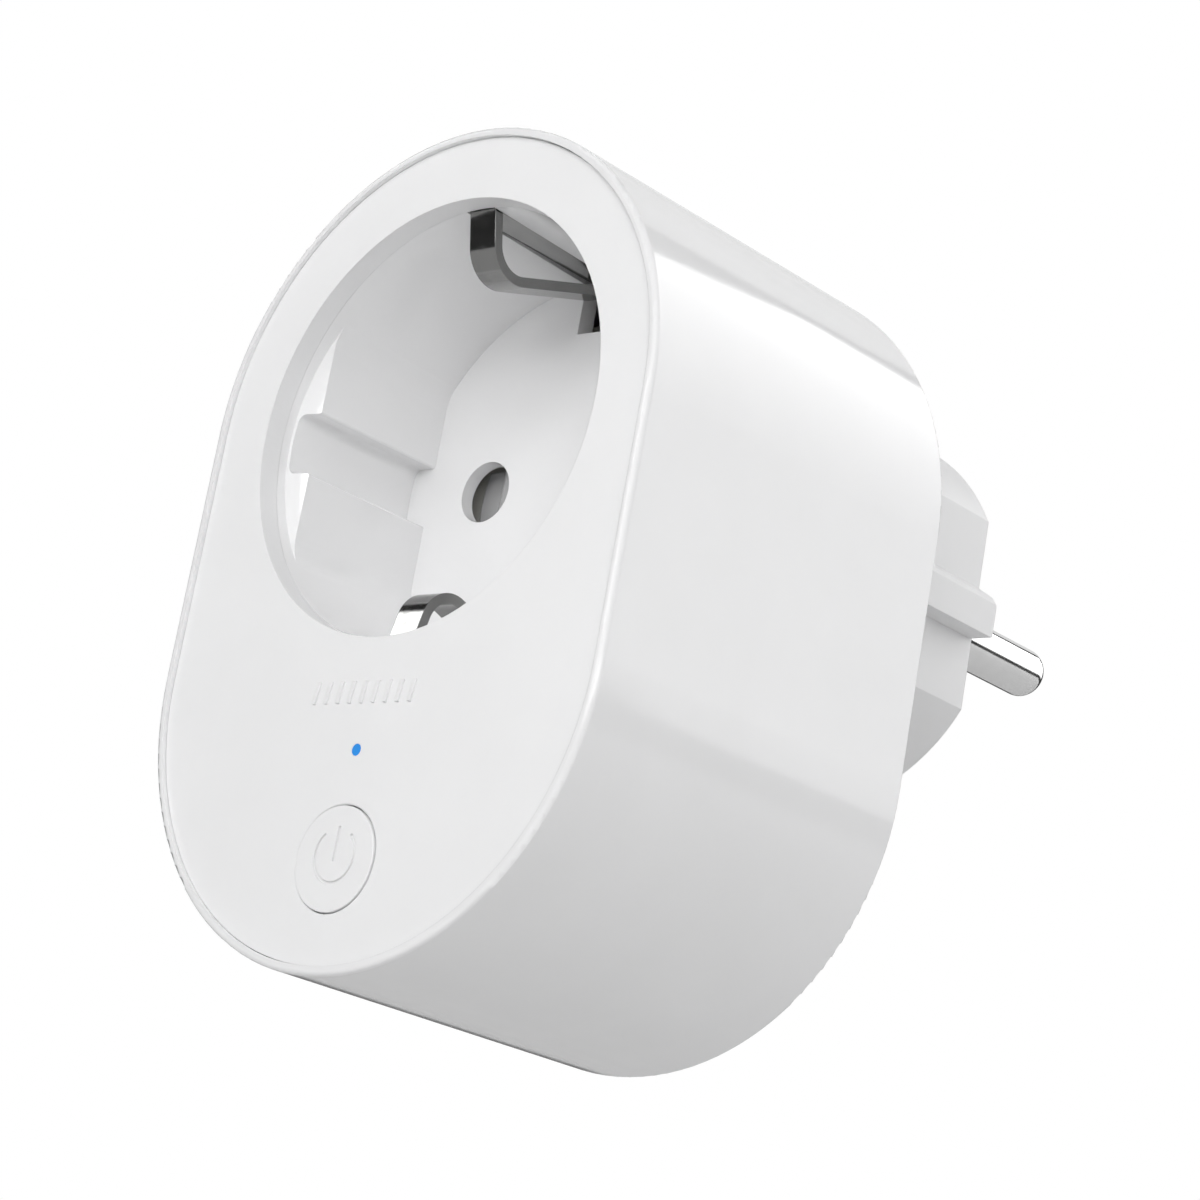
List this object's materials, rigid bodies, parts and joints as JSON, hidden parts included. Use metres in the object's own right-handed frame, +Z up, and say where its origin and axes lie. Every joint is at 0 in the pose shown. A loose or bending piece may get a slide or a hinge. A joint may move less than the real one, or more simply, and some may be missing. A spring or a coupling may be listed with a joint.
{
  "type": "smart plug",
  "caption": "White stadium-shaped smart plug with an earthed round socket, raised rating ticks, a status light and a round power button on the face, and a two-pin earthed plug on the back.",
  "frame": {"origin": "the plug nose's end face, half way between the two pins", "axes": "+Y out of the plug nose along the pins, into the wall; +Z up; +X to the right as seen from the front"},
  "size_m": [0.0522, 0.0781, 0.0748],
  "materials": {
    "white_shell": "smooth satin-gloss white moulding",
    "white_face": "fine matt white moulding",
    "white_socket": "smooth white flame-retardant moulding",
    "white_nose": "fine matt white moulding",
    "inner_plastic": "unpainted natural moulding",
    "shutter_grey": "matt grey moulding",
    "nickel": "bright nickel plate on spring brass",
    "pin_nickel": "bright nickel plate on solid brass",
    "brass": "plain stamped brass",
    "spring_steel": "drawn spring wire",
    "screw_steel": "zinc-plated steel",
    "light_pipe": "clear rod lit blue by the light behind it",
    "led": "lit surface-mounted light",
    "board_green": "solder mask over glass-fibre board",
    "radio_board": "dark blue solder mask",
    "tin": "tinned sheet",
    "copper": "gold-flashed copper track",
    "black_part": "black moulded component body",
    "film_yellow": "yellow cast box",
    "varistor_blue": "blue epoxy dip",
    "can_sleeve": "black shrink sleeve",
    "ferrite": "ferrite drum with lacquered wire",
    "resistor_body": "green cement coat",
    "relay_blue": "blue relay cover",
    "coil_wire": "lacquered copper winding",
    "iron": "plated soft iron",
    "switch_body": "black switch housing"
  },
  "bodies": {
    "case": {"housing_shell": "white_shell", "face_panel": "white_face", "socket_well": "white_socket", "socket_floor": "white_socket", "rear_cover": "white_nose", "pin_carrier": "inner_plastic", "line_pin": "pin_nickel", "neutral_pin": "pin_nickel", "nose_earth_strip_top": "nickel", "nose_earth_strip_bottom": "nickel", "earth_bridge": "brass", "line_contact": "brass", "neutral_contact": "brass", "line_busbar": "brass", "neutral_busbar": "brass", "contact_carrier": "inner_plastic", "shutter_spring": "spring_steel", "led_light_pipe": "light_pipe", "tact_switch_body": "switch_body", "status_led": "led", "control_board": "board_green", "wireless_board": "radio_board", "shield_can": "tin", "antenna": "copper", "board_link": "black_part", "main_board": "board_green", "film_capacitor": "film_yellow", "varistor": "varistor_blue", "bulk_capacitor": "can_sleeve", "output_capacitor": "can_sleeve", "inductor": "ferrite", "fusible_resistor": "resistor_body", "bridge_rectifier": "black_part", "converter_chip": "black_part", "relay_case": "relay_blue", "relay_base": "black_part", "relay_core": "iron", "relay_coil": "coil_wire", "relay_yoke": "iron", "relay_fixed_contact": "brass", "cover_screws": "screw_steel", "carrier_screws": "screw_steel", "board_screws": "screw_steel"},
    "button": {"power_button": "white_face"},
    "switch_stem": {"tact_switch_stem": "inner_plastic"},
    "upper_clip": {"earth_clip_top": "nickel"},
    "lower_clip": {"earth_clip_bottom": "nickel"},
    "shutter_rotor": {"shutter": "shutter_grey"},
    "armature": {"relay_armature": "iron", "relay_contact_spring": "brass"}
  },
  "joints": [
    {"name": "button_press", "type": "slide", "parent": "case", "child": "button", "axis": [0, 1, 0], "range_m": [0, 0.0005], "stiffness_N_per_m": 2400, "springref_m": -0.0003},
    {"name": "switch_stem_press", "type": "slide", "parent": "case", "child": "switch_stem", "axis": [0, 1, 0], "range_m": [0, 0.0005]},
    {"name": "upper_clip_flex", "type": "hinge", "parent": "case", "child": "upper_clip", "pos_m": [0, -0.0379, 0.01985], "axis": [-1, 0, 0], "range_deg": [0, 6], "stiffness_Nm_per_rad": 0.6, "springref_deg": -1.72},
    {"name": "lower_clip_flex", "type": "hinge", "parent": "case", "child": "lower_clip", "pos_m": [0, -0.0379, -0.01985], "axis": [1, 0, 0], "range_deg": [0, 6], "stiffness_Nm_per_rad": 0.6, "springref_deg": -1.72},
    {"name": "shutter_turn", "type": "hinge", "parent": "case", "child": "shutter_rotor", "pos_m": [0, -0.0381, 0], "axis": [0, -1, 0], "range_deg": [0, 40], "stiffness_Nm_per_rad": 0.004, "springref_deg": -20.05},
    {"name": "armature_swing", "type": "hinge", "parent": "case", "child": "armature", "pos_m": [-0.0038, -0.0383, -0.0295], "axis": [0, 0, -1], "range_deg": [0, 3.5], "stiffness_Nm_per_rad": 0.04, "springref_deg": -2.29}
  ],
  "couplings": [
    {"joint": "switch_stem_press", "follows": "button_press", "ratio": 1}
  ]
}
